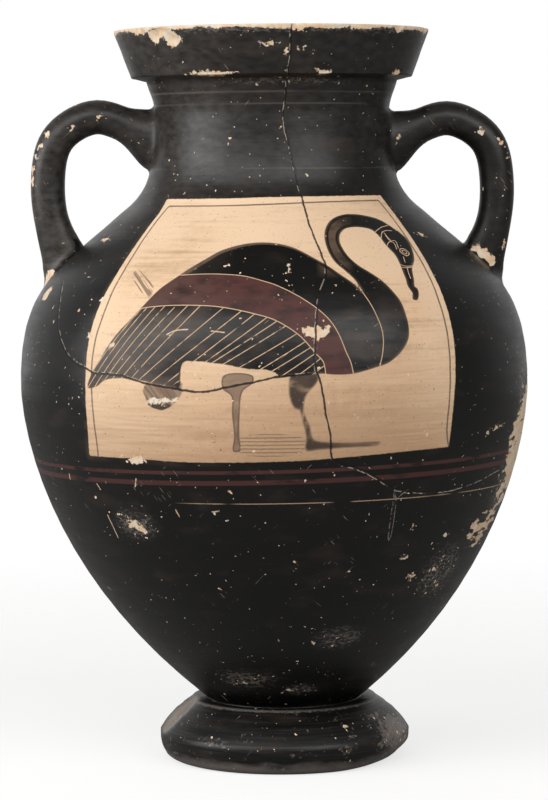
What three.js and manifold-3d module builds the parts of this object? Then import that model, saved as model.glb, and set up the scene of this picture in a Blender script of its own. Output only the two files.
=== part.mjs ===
// Black-figure amphora of the one-piece kind: a wheel-thrown jar whose neck runs into its
// shoulder in one curve, with a flaring lip, two round upright handles and a flaring foot that is
// hollow underneath. Foot, body, neck, lip and handles were luted together wet and fired as one,
// so the jar is one solid. Millimetres, +Z up, the origin on the floor under the widest point.
// The jar is empty, its walls have their true thickness, and it leans a little, as the real one
// does. Its front, with the picture panel, faces -Y.

import * as THREE from 'three';
import { mergeVertices } from 'three/addons/utils/BufferGeometryUtils.js';
import Module from 'manifold-3d';

// Heights above the floor
const height = 400; // top of the lip
const lipBottom = 374.2; // lower edge of the lip
const neckTop = 372.4; // where the neck meets the underside of the lip
const neckWaist = 354.8; // narrowest place of the neck
const shoulderHeight = 299.9; // a station on the straight part of the shoulder
const bellyHeight = 207.6; // widest place of the body
const jointHeight = 32.6; // where the body sits on the foot
const collarHeight = 33.2; // outer edge of the narrow ledge round that joint
const footRimHeight = 13; // widest place of the foot
const floorHeight = 39; // inside floor of the jar
const footHollow = 26; // depth of the hollow under the foot

// Outside radii
const mouthRadius = 86;
const lipBottomRadius = 77;
const neckTopRadius = 68.8;
const neckRadius = 64.1;
const shoulderRadius = 84.5;
const bellyRadius = 139.4;
const jointRadius = 41.5;
const collarRadius = 50.6; // the ledge of clay smeared round the joint of body and foot
const footRimRadius = 69.3;
const restOuterRadius = 61; // flat ring that the jar stands on, outer edge
const restInnerRadius = 51; // the same ring, inner edge

// Slopes of the outline, in degrees from level
const shoulderSlope = 41.4;
const bodyFootSlope = 38.8; // the body where it leaves the foot
const footSlope = 36; // the foot below its ledge
const neckTopSlope = 76;

// How far each end of a curve keeps its direction
const bodyFootReach = 113;
const bellyReachDown = 21.3;
const bellyReachUp = 54.6;
const shoulderReachDown = 44.8;
const shoulderReachUp = 12.8;
const neckReach = 42.3;
const neckTopReach = 6;
const footTopReach = 6;
const footRimReach = 7;
const floorReach = 15; // rounding where the inside floor meets the wall

// Wall thickness
const wall = 6; // at the belly
const neckWall = 7.5;
const lipWall = 9; // across the flat top of the lip
const edgeRound = 1.2; // rounding of the lip's edges

// Handles: the line of each one's middle, as radius and height, from inside the neck to inside
// the shoulder, then its thickness along that line
const handleRadius = 9.4; // half the thickness at mid-handle
const neckRoot = [58, 338];
const handleUpper = [79, 347.6];
const handleTop = [97.5, 352.8];
const handleBend = [118.2, 340.4];
const handleOuter = [123.4, 314.5];
const handleLower = [120.3, 289];
const shoulderRoot = [112, 252];
const neckRootFlare = 9; // extra half height where the handle spreads on the neck
const shoulderRootFlare = 4.5; // extra half thickness where it spreads on the shoulder
const rootFlareLength = 0.18; // the share of the handle over which each end spreads
const sidewaysFlare = 0.35; // how much of the flare goes round the jar
const handleRise = 1.1; // the left handle sits higher by this, and the right one lower

// Lean: the jar sagged as it dried, so everything above the foot stands this far to the left
const lean = 4.2;
const leanTop = 211; // above this height the jar is upright again

// Facets
const segments = 56; // round the jar
const handleSides = 14;
const handleStations = 20;
const outsideSteps = 7; // in each curve of the body's outside
const insideSteps = 4; // in each curve of its inside
const footSteps = 4; // in each curve of the foot
const lipSteps = 2; // in each rounding of the lip

const rad = THREE.MathUtils.degToRad;

/** Adds a curve to a path that leaves and arrives at given slopes, in degrees. */
function sweep(path, from, fromSlope, fromReach, to, toSlope, toReach) {
  path.bezierCurveTo(
    from[0] + fromReach * Math.cos(rad(fromSlope)),
    from[1] + fromReach * Math.sin(rad(fromSlope)),
    to[0] - toReach * Math.cos(rad(toSlope)),
    to[1] - toReach * Math.sin(rad(toSlope)),
    to[0],
    to[1],
  );
}

/** The body's outside from the foot to the top of the neck, inset by the wall at each height. */
function bodyCurve(inset) {
  const joint = [jointRadius, jointHeight];
  joint[0] -= inset * Math.sin(rad(bodyFootSlope));
  joint[1] += inset * Math.cos(rad(bodyFootSlope));
  const belly = [bellyRadius - inset, bellyHeight];
  const shoulder = [shoulderRadius, shoulderHeight];
  shoulder[0] -= inset * Math.sin(rad(shoulderSlope));
  shoulder[1] -= inset * Math.cos(rad(shoulderSlope));
  const waist = [neckRadius - inset * neckWall / wall, neckWaist];
  const neckEnd = [neckTopRadius - inset * neckWall / wall, neckTop];
  const path = new THREE.Path();
  path.moveTo(...joint);
  sweep(path, joint, bodyFootSlope, bodyFootReach, belly, 90, bellyReachDown);
  sweep(path, belly, 90, bellyReachUp, shoulder, 180 - shoulderSlope, shoulderReachDown);
  sweep(path, shoulder, 180 - shoulderSlope, shoulderReachUp, waist, 90, neckReach);
  sweep(path, waist, 90, neckTopReach, neckEnd, neckTopSlope, neckTopReach);
  return path;
}

/** Turns an outline of radius and height into a solid with its axis along +Z. */
function turned(points) {
  return solid(new THREE.LatheGeometry(points, segments).rotateX(Math.PI / 2));
}

const wasm = await Module();
wasm.setup();

/** Makes a closed solid of a geometry whose seams are merged. */
function solid(geometry) {
  geometry.deleteAttribute('normal');
  geometry.deleteAttribute('uv');
  const merged = mergeVertices(geometry, 1e-4);
  const mesh = new wasm.Mesh({
    numProp: 3,
    vertProperties: merged.attributes.position.array,
    triVerts: new Uint32Array(merged.index.array),
  });
  return new wasm.Manifold(mesh);
}

/** The jar's outside with the hollow under its foot, still filled with clay inside. */
function outside() {
  const foot = new THREE.Path();
  foot.moveTo(0, footHollow);
  foot.bezierCurveTo(
    restInnerRadius / 2, footHollow, restInnerRadius, footHollow / 2, restInnerRadius, 0,
  );
  foot.lineTo(restOuterRadius, 0);
  foot.quadraticCurveTo(footRimRadius, footRimHeight / 6, footRimRadius, footRimHeight);
  const rim = [footRimRadius, footRimHeight];
  const collar = [collarRadius, collarHeight];
  sweep(foot, rim, 90, footRimReach, collar, 180 - footSlope, footTopReach);
  foot.lineTo(jointRadius, jointHeight);
  const lip = new THREE.Path();
  lip.moveTo(neckTopRadius, neckTop);
  lip.lineTo(lipBottomRadius - edgeRound, lipBottom);
  lip.quadraticCurveTo(lipBottomRadius, lipBottom, lipBottomRadius, lipBottom + edgeRound);
  lip.lineTo(mouthRadius, height - edgeRound);
  lip.quadraticCurveTo(mouthRadius, height, mouthRadius - edgeRound, height);
  lip.lineTo(0, height);
  return turned([
    ...foot.getPoints(footSteps),
    ...bodyCurve(0).getPoints(outsideSteps).slice(1),
    ...lip.getPoints(lipSteps).slice(1),
  ]);
}

/** The empty inside, from the rounded floor up through the mouth. */
function cavity() {
  const mouthInner = mouthRadius - lipWall;
  const above = bodyCurve(wall).getPoints(insideSteps);
  const cornerRadius = above[0].x + (floorHeight - above[0].y) / Math.tan(rad(bodyFootSlope));
  const floorEnd = new THREE.Vector2(
    cornerRadius + floorReach * Math.cos(rad(bodyFootSlope)),
    floorHeight + floorReach * Math.sin(rad(bodyFootSlope)),
  );
  const inside = new THREE.Path();
  inside.moveTo(0, floorHeight);
  inside.lineTo(cornerRadius - floorReach, floorHeight);
  inside.quadraticCurveTo(cornerRadius, floorHeight, floorEnd.x, floorEnd.y);
  const wallPoints = above.filter((point) => point.y > floorEnd.y + wall / 2);
  const throat = new THREE.Path();
  throat.moveTo(neckTopRadius - neckWall, neckTop);
  throat.quadraticCurveTo(
    neckTopRadius - neckWall, (neckTop + height) / 2, mouthInner, height - edgeRound,
  );
  throat.lineTo(mouthInner + edgeRound, height);
  throat.lineTo(mouthInner + edgeRound, height + wall);
  throat.lineTo(0, height + wall);
  return turned([
    ...inside.getPoints(insideSteps),
    ...wallPoints,
    ...throat.getPoints(insideSteps).slice(1),
  ]);
}

/** One handle, bent from a round bar: side is 1 on the right and -1 on the left. */
function handle(side) {
  const line = new THREE.CatmullRomCurve3(
    [neckRoot, handleUpper, handleTop, handleBend, handleOuter, handleLower, shoulderRoot].map(
      ([radius, level]) => new THREE.Vector3(radius * side, 0, level - handleRise * side),
    ),
  );
  const bar = new THREE.CylinderGeometry(1, 1, 1, handleSides, handleStations);
  const place = bar.attributes.position;
  const across = new THREE.Vector3(0, 1, 0);
  for (let i = 0; i < place.count; i += 1) {
    const along = THREE.MathUtils.clamp(place.getY(i) + 0.5, 0, 1);
    const neckFlare = neckRootFlare * (1 - THREE.MathUtils.smoothstep(along, 0, rootFlareLength));
    const low = THREE.MathUtils.smoothstep(along, 1 - rootFlareLength, 1);
    const flare = neckFlare + shoulderRootFlare * low;
    const outward = new THREE.Vector3().crossVectors(line.getTangentAt(along), across);
    const point = line.getPointAt(along);
    point.addScaledVector(outward, place.getX(i) * (handleRadius + flare));
    point.addScaledVector(across, place.getZ(i) * (handleRadius + sidewaysFlare * flare));
    place.setXYZ(i, point.x, point.y, point.z);
  }
  return solid(bar);
}

/** Leans the jar: each ring stays level and moves sideways, less the higher it is. */
function leaned(geometry) {
  const place = geometry.attributes.position;
  for (let i = 0; i < place.count; i += 1) {
    const left = THREE.MathUtils.smoothstep(place.getZ(i), 0, leanTop);
    place.setX(i, place.getX(i) + lean * (1 - left));
  }
  return geometry;
}

/** The whole jar as one geometry. */
function amphora() {
  const jar = outside().add(handle(1)).add(handle(-1)).subtract(cavity());
  const mesh = jar.getMesh();
  const geometry = new THREE.BufferGeometry();
  geometry.setAttribute('position', new THREE.BufferAttribute(mesh.vertProperties, 3));
  geometry.setIndex(new THREE.BufferAttribute(mesh.triVerts, 1));
  return leaned(geometry);
}

const gloss = new THREE.MeshStandardMaterial({
  name: 'black gloss slip on fired clay', color: 0x1d1917, roughness: 0.35, metalness: 0,
});
const jar = new THREE.Mesh(amphora(), gloss);
jar.name = 'amphora';

const group = new THREE.Group();
group.add(jar);

export default group;
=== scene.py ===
"""A black-figure amphora of the one-piece kind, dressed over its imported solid.

The jar is turned on the wheel axis from the same sizes as its solid, its handles are luted on and
it is hollowed out. Its reserved picture panel, incised lines, mends, chips and wear are then laid
over the surface as fields in millimetres, which one procedural fired-clay material reads.
"""

import logging
import math
from collections.abc import Callable, Sequence
from dataclasses import dataclass, field
from enum import Enum

import bmesh
import bpy
import numpy as np
from mathutils import Matrix, Vector


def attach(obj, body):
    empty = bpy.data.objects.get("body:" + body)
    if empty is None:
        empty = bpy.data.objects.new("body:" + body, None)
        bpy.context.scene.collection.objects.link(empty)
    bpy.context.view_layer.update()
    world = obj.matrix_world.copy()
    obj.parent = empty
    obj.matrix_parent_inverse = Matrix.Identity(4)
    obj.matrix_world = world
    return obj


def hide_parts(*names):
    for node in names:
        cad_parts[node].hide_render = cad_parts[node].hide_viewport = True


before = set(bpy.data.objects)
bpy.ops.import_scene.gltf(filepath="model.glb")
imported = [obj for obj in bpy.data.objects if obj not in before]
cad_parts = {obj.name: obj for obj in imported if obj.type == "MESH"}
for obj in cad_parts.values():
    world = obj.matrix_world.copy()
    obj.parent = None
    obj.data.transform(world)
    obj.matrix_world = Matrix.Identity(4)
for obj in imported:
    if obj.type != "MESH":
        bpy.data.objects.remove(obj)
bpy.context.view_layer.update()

MM = 0.001
LOG = logging.getLogger("amphora")

Place = tuple[float, float]


def linear(hex_colour: str) -> tuple[float, float, float, float]:
    """Turn an sRGB hex colour to the linear values that shaders take.

    Args:
        hex_colour: A colour such as "#d8b592".

    Returns:
        Linear red, green, blue and an alpha of 1.
    """
    parts = [int(hex_colour[i : i + 2], 16) / 255 for i in (1, 3, 5)]
    red, green, blue = (
        value / 12.92 if value <= 0.04045 else ((value + 0.055) / 1.055) ** 2.4
        for value in parts
    )
    return red, green, blue, 1.0


def smoothstep(value: np.ndarray) -> np.ndarray:
    """Ease values from 0 to 1, held at both ends."""
    held = np.clip(value, 0.0, 1.0)
    return held * held * (3.0 - 2.0 * held)


def bezier(start: Place, first: Place, second: Place, end: Place) -> np.ndarray:
    """Sample a cubic curve densely.

    Args:
        start: Where the curve begins.
        first: Its first control point.
        second: Its second control point.
        end: Where it ends.

    Returns:
        Points along the curve, one per row.
    """
    t = np.linspace(0.0, 1.0, 120)[:, None]
    p0, p1, p2, p3 = (np.array(p, float) for p in (start, first, second, end))
    u = 1.0 - t
    return u**3 * p0 + 3 * u * u * t * p1 + 3 * u * t * t * p2 + t**3 * p3


def heading(point: Place, slope: float, reach: float) -> Place:
    """Step from a point along a slope in degrees."""
    turn = math.radians(slope)
    return point[0] + reach * math.cos(turn), point[1] + reach * math.sin(turn)


def sweep(start: Place, slope: float, reach: float, end: Place, end_slope: float,
          end_reach: float) -> np.ndarray:
    """Join two points by a curve that leaves and arrives at given slopes.

    Args:
        start: First point, as radius and height.
        slope: Slope at the first point, in degrees from level.
        reach: How far the curve keeps that slope.
        end: Last point.
        end_slope: Slope at the last point.
        end_reach: How far before the end the curve takes that slope.

    Returns:
        Points along the curve.
    """
    return bezier(start, heading(start, slope, reach), heading(end, end_slope, -end_reach), end)


def through(points: Sequence[Sequence[float]], each: int = 6, closed: bool = False) -> np.ndarray:
    """Draw a smooth centripetal curve through points.

    Args:
        points: The points that the curve passes through.
        each: How many samples go between two points.
        closed: Whether the curve comes back to its first point.

    Returns:
        Samples along the curve, one per row.
    """
    spots = np.array(points, float)
    if closed:
        ends = np.vstack([spots[-1], spots, spots[0], spots[1]])
    else:
        ends = np.vstack([2 * spots[0] - spots[1], spots, 2 * spots[-1] - spots[-2]])
    out = []
    for p0, p1, p2, p3 in zip(ends, ends[1:], ends[2:], ends[3:]):
        d0, d1, d2 = (max(np.linalg.norm(b - a) ** 0.5, 1e-4)
                      for a, b in ((p0, p1), (p1, p2), (p2, p3)))
        m1 = d1 * ((p1 - p0) / d0 - (p2 - p0) / (d0 + d1) + (p2 - p1) / d1)
        m2 = d1 * ((p2 - p1) / d1 - (p3 - p1) / (d1 + d2) + (p3 - p2) / d2)
        t = np.linspace(0.0, 1.0, each, endpoint=False)[:, None]
        out.append((2 * t**3 - 3 * t**2 + 1) * p1 + (t**3 - 2 * t**2 + t) * m1
                   + (3 * t**2 - 2 * t**3) * p2 + (t**3 - t**2) * m2)
    if not closed:
        out.append(spots[-1:])
    return np.vstack(out)


def paced(curve: np.ndarray, step: Callable[[float], float]) -> np.ndarray:
    """Space points along a curve by a step that depends on height.

    Args:
        curve: Dense points of radius and height.
        step: Gives the wanted spacing at a height, in millimetres.

    Returns:
        The same curve with the first and last point kept.
    """
    lengths = np.hypot(*np.diff(curve, axis=0).T)
    middle = (curve[1:, 1] + curve[:-1, 1]) / 2
    share = np.array([length / step(z) for length, z in zip(lengths, middle)])
    count = np.concatenate([[0.0], np.cumsum(share)])
    wanted = np.linspace(0.0, count[-1], max(1, round(count[-1])) + 1)
    return np.column_stack([np.interp(wanted, count, curve[:, 0]),
                            np.interp(wanted, count, curve[:, 1])])


@dataclass(frozen=True)
class Sector:
    """A part of the turn round the jar, with how finely it is divided."""

    start: float
    end: float
    steps: int


def turned(curve: np.ndarray, sectors: Sequence[Sector], name: str) -> bpy.types.Object:
    """Spin an outline of radius and height round the jar's axis.

    Args:
        curve: The outline in millimetres, both ends on the axis.
        sectors: The parts of the full turn, in degrees from the front.
        name: Name of the object.

    Returns:
        A closed mesh object.
    """
    bm = bmesh.new()
    start = math.radians(sectors[0].start)
    verts = [bm.verts.new((r * math.sin(start) * MM, -r * math.cos(start) * MM, z * MM))
             for r, z in curve]
    geometry: list = verts + [bm.edges.new(pair) for pair in zip(verts, verts[1:])]
    for sector in sectors:
        made = bmesh.ops.spin(bm, geom=geometry, cent=(0, 0, 0), axis=(0, 0, 1),
                              angle=math.radians(sector.end - sector.start),
                              steps=sector.steps, use_merge=False, use_duplicate=False)
        geometry = made["geom_last"]
    bmesh.ops.remove_doubles(bm, verts=bm.verts, dist=2e-6)
    bmesh.ops.recalc_face_normals(bm, faces=bm.faces)
    return as_object(bm, name)


def as_object(bm: bmesh.types.BMesh, name: str) -> bpy.types.Object:
    """Put a finished bmesh into an object at the origin and free it."""
    mesh = bpy.data.meshes.new(name)
    bm.to_mesh(mesh)
    bm.free()
    piece = bpy.data.objects.new(name, mesh)
    bpy.context.collection.objects.link(piece)
    return piece


def combined(piece: bpy.types.Object, other: bpy.types.Object, operation: str) -> None:
    """Unite a piece with another or cut the other out of it, and remove the other.

    Args:
        piece: The object that is changed.
        other: The object that is added or cut away.
        operation: UNION or DIFFERENCE.
    """
    cut = piece.modifiers.new("join", "BOOLEAN")
    cut.operation, cut.object, cut.solver = operation, other, "MANIFOLD"
    graph = bpy.context.evaluated_depsgraph_get()
    result = bpy.data.meshes.new_from_object(piece.evaluated_get(graph))
    piece.modifiers.remove(cut)
    piece.data = result
    bpy.data.objects.remove(other)


@dataclass
class JarForm:
    """Sizes of the turned jar, in millimetres, the same as in its solid."""

    height: float = 400.0
    lip_bottom: float = 374.2
    neck_top: float = 372.4
    waist: Place = (64.1, 354.8)
    shoulder: Place = (84.5, 299.9)
    belly: Place = (139.4, 207.6)
    joint: Place = (41.5, 32.6)
    collar: Place = (50.6, 33.2)
    foot_rim: Place = (69.3, 13.0)
    floor_height: float = 39.0
    foot_hollow: float = 26.0
    mouth_radius: float = 86.0
    lip_bottom_radius: float = 77.0
    neck_top_radius: float = 68.8
    rest_outer: float = 61.0
    rest_inner: float = 51.0
    shoulder_slope: float = 41.4
    joint_slope: float = 38.8
    foot_slope: float = 36.0
    neck_top_slope: float = 76.0
    # How far each end of a curve keeps its direction
    joint_reach: float = 113.0
    belly_reach: Place = (21.3, 54.6)
    shoulder_reach: Place = (44.8, 12.8)
    waist_reach: float = 42.3
    neck_top_reach: float = 6.0
    collar_reach: float = 6.0
    rim_reach: float = 7.0
    floor_reach: float = 15.0
    wall: float = 6.0
    neck_wall: float = 7.5
    lip_wall: float = 9.0
    edge_round: float = 1.2
    lean: float = 4.2
    lean_top: float = 211.0
    # Spacing of the outline's points up to each height, fine where the picture lies
    paces: tuple[Place, ...] = (
        (34, 1.9), (60, 2.6), (150, 3.0), (170, 2.2), (312, 1.55), (500, 2.2),
    )

    def wall_curves(self, inset: float) -> list[np.ndarray]:
        """Give the body's outline from the foot to the neck's top.

        Args:
            inset: How far inside the outer face the outline runs at the belly.

        Returns:
            Four curves of radius and height.
        """
        lower, upper = math.radians(self.joint_slope), math.radians(self.shoulder_slope)
        thick = inset * self.neck_wall / self.wall
        joint = (self.joint[0] - inset * math.sin(lower), self.joint[1] + inset * math.cos(lower))
        belly = (self.belly[0] - inset, self.belly[1])
        shoulder = (self.shoulder[0] - inset * math.sin(upper),
                    self.shoulder[1] - inset * math.cos(upper))
        waist = (self.waist[0] - thick, self.waist[1])
        top = (self.neck_top_radius - thick, self.neck_top)
        up = 180 - self.shoulder_slope
        return [
            sweep(joint, self.joint_slope, self.joint_reach, belly, 90, self.belly_reach[0]),
            sweep(belly, 90, self.belly_reach[1], shoulder, up, self.shoulder_reach[0]),
            sweep(shoulder, up, self.shoulder_reach[1], waist, 90, self.waist_reach),
            sweep(waist, 90, self.neck_top_reach, top, self.neck_top_slope, self.neck_top_reach),
        ]

    def foot_curves(self) -> list[np.ndarray]:
        """Give the foot's outline from the middle of its hollow to the body."""
        rim, inner = self.foot_rim, self.rest_inner
        hollow = bezier((0, self.foot_hollow), (inner / 2, self.foot_hollow),
                        (inner, self.foot_hollow / 2), (inner, 0))
        edge = bezier((self.rest_outer, 0), (self.rest_outer + 5.5, 1.4),
                      (rim[0], rim[1] * 0.44), rim)
        return [
            hollow,
            np.array([(inner, 0), (self.rest_outer, 0)], float),
            edge,
            sweep(rim, 90, self.rim_reach, self.collar, 180 - self.foot_slope, self.collar_reach),
            bezier(self.collar, (self.collar[0] - 2.5, self.collar[1] + 1.2),
                   (self.joint[0] + 3.5, self.joint[1] + 0.2), self.joint),
        ]

    def lip_curves(self) -> list[np.ndarray]:
        """Give the lip's outline from the neck to the axis, level with its top."""
        low, high, bend = self.lip_bottom_radius, self.mouth_radius, self.edge_round
        under = (low - bend, self.lip_bottom)
        rise = (low + 0.4, self.lip_bottom + bend)
        top = (high, self.height - bend)
        flat = (high - bend, self.height)
        corner, brow = (low, self.lip_bottom), (high, self.height)
        return [
            np.array([(self.neck_top_radius, self.neck_top), under]),
            bezier(under, corner, corner, rise),
            np.array([rise, top]),
            bezier(top, brow, brow, flat),
            np.array([flat, (0.0, self.height)]),
        ]

    def pace(self, level: float) -> float:
        """Give the spacing of the outline's points at a height."""
        return next(pace for top, pace in self.paces if level < top)

    def outside(self) -> np.ndarray:
        """Give the whole outside outline, spaced finely where the picture lies."""
        foot, body, lip = self.foot_curves(), self.wall_curves(0.0), self.lip_curves()
        paces = [lambda z: 5.0, lambda z: 4.0] + [self.pace] * (len(foot) - 2 + len(body))
        paces += [self.pace, lambda z: 0.6, self.pace, lambda z: 0.6, lambda z: 200.0]
        rows = [paced(curve, pace) for curve, pace in zip([*foot, *body, *lip], paces)]
        return np.vstack([rows[0], *(row[1:] for row in rows[1:])])

    def inside(self) -> np.ndarray:
        """Give the outline of the empty inside, from its floor through the mouth."""
        curves = self.wall_curves(self.wall)
        wall = np.vstack([paced(curve, lambda z: 5.0)[1:] for curve in curves])
        slope = math.radians(self.joint_slope)
        start = curves[0][0]
        corner = start[0] + (self.floor_height - start[1]) / math.tan(slope)
        bed = (corner, self.floor_height)
        end = heading(bed, self.joint_slope, self.floor_reach)
        turn = bezier((corner - self.floor_reach, self.floor_height), bed, bed, end)
        mouth = self.mouth_radius - self.lip_wall
        brow = (self.neck_top_radius - self.neck_wall, (self.neck_top + self.height) / 2)
        edge = (mouth, self.height - self.edge_round)
        throat = bezier((brow[0], self.neck_top), brow, brow, edge)
        rolled = bezier(edge, (mouth + 0.2, self.height - 0.5),
                        (mouth + 0.6, self.height), (mouth + 1.6, self.height + 0.05))
        return np.vstack([
            [(0.0, self.floor_height)],
            paced(turn, lambda z: 4.0),
            wall[wall[:, 1] > end[1] + self.wall / 2],
            paced(throat, lambda z: 3.0)[1:],
            paced(rolled, lambda z: 0.6)[1:],
            [(mouth + 1.6, self.height + 5.0), (0.0, self.height + 5.0)],
        ])

    def skin(self) -> np.ndarray:
        """Give the outside above the ledge, with one radius for each height."""
        line = np.vstack([*self.wall_curves(0.0), *self.lip_curves()[:4]])
        return line[np.concatenate([[True], np.diff(np.maximum.accumulate(line[:, 1])) > 1e-6])]

    def radius_at(self, level: np.ndarray) -> np.ndarray:
        """Give the outer radius at heights above the ledge."""
        line = self.skin()
        return np.interp(level, line[:, 1], line[:, 0])

    def leaned(self, level: np.ndarray) -> np.ndarray:
        """Give how far right of the axis the jar stands at each height."""
        return self.lean * (1.0 - smoothstep(level / self.lean_top))


@dataclass
class HandleForm:
    """One upright handle, bent from a rolled bar of clay, in millimetres.

    Its ends flare where they spread on the jar, and a heel of clay fills the inner side of the
    lower one. The bent line is softened, as wet clay bends without corners.
    """

    side: int
    line: tuple[Place, ...] = (
        (58, 338), (79, 347.6), (97.5, 352.8), (118.2, 340.4), (123.4, 314.5), (120.3, 289),
        (112, 252),
    )
    rise: float = 1.1
    thickness: float = 9.4
    neck_flare: float = 9.0
    shoulder_flare: float = 4.5
    flare_length: float = 0.18
    sideways: float = 0.35
    heel: float = 12.0
    heel_length: float = 0.32
    sides: int = 28
    stations: int = 54
    samples: int = 40
    softenings: int = 110

    def middle(self) -> np.ndarray:
        """Give evenly spaced points along the handle's middle."""
        spots = [(radius * self.side, 0.0, level - self.rise * self.side)
                 for radius, level in self.line]
        dense = through(spots, self.samples)
        soft = np.arange(1, len(dense) - 1)
        for _ in range(self.softenings):
            dense[soft] += 0.5 * ((dense[soft - 1] + dense[soft + 1]) / 2 - dense[soft])
        run = np.concatenate([[0.0], np.cumsum(np.linalg.norm(np.diff(dense, axis=0), axis=1))])
        wanted = np.linspace(0.0, run[-1], self.stations + 1)
        return np.column_stack([np.interp(wanted, run, dense[:, axis]) for axis in range(3)])

    def flares(self) -> np.ndarray:
        """Give the extra half thickness at each station, where the ends spread."""
        along = np.linspace(0.0, 1.0, self.stations + 1)
        near = 1.0 - smoothstep(along / self.flare_length)
        far = smoothstep((along - 1.0 + self.flare_length) / self.flare_length)
        return self.neck_flare * near + self.shoulder_flare * far

    def frames(self) -> list[Matrix]:
        """Give the placing of a unit circle at each station."""
        line = self.middle()
        share = np.linspace(0.0, 1.0, self.stations + 1)
        heels = self.heel * smoothstep((share - 1.0 + self.heel_length) / self.heel_length)
        across = Vector((0, 1, 0))
        placed = []
        for point, along, flare, heel in zip(line, np.gradient(line, axis=0), self.flares(), heels):
            tangent = Vector(along).normalized()
            outward = tangent.cross(across)
            inward = outward if outward.x * self.side < 0 else -outward
            turn = Matrix((outward, across, tangent)).transposed().to_4x4()
            point = point + np.array(inward) * heel / 2
            size = Matrix.Diagonal((self.thickness + flare + heel / 2,
                                    self.thickness + self.sideways * flare, 1.0, 1.0))
            placed.append(Matrix.Scale(MM, 4) @ Matrix.Translation(Vector(point)) @ turn @ size)
        return placed

    def build(self) -> bpy.types.Object:
        """Extrude a circle along the bent line and close both ends."""
        bm = bmesh.new()
        bmesh.ops.create_circle(bm, radius=1.0, segments=self.sides)
        placed = self.frames()
        bmesh.ops.transform(bm, matrix=placed[0], verts=bm.verts)
        edges = bm.edges[:]
        for before, after in zip(placed, placed[1:]):
            made = bmesh.ops.extrude_edge_only(bm, edges=edges)["geom"]
            verts = [part for part in made if isinstance(part, bmesh.types.BMVert)]
            fresh = set(verts)
            bmesh.ops.transform(bm, matrix=after @ before.inverted(), verts=verts)
            edges = [part for part in made if isinstance(part, bmesh.types.BMEdge)
                     and part.verts[0] in fresh and part.verts[1] in fresh]
        bmesh.ops.holes_fill(bm, edges=[edge for edge in bm.edges if edge.is_boundary], sides=0)
        bmesh.ops.recalc_face_normals(bm, faces=bm.faces)
        return as_object(bm, f"handle_{'right' if self.side > 0 else 'left'}")

    def surface_distance(self, places: np.ndarray) -> np.ndarray:
        """Give each place's distance from the handle's surface, positive outside it."""
        near = np.full(len(places), 1e3)
        for point, flare in zip(self.middle(), self.flares()):
            away = np.linalg.norm(places - point, axis=1) - self.thickness - 0.6 * flare
            near = np.minimum(near, away)
        return near


@dataclass(frozen=True)
class Chip:
    """A place where clay or paint has come off, in degrees and millimetres."""

    azimuth: float
    level: float
    width: float
    tall: float
    depth: float = 0.0


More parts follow.
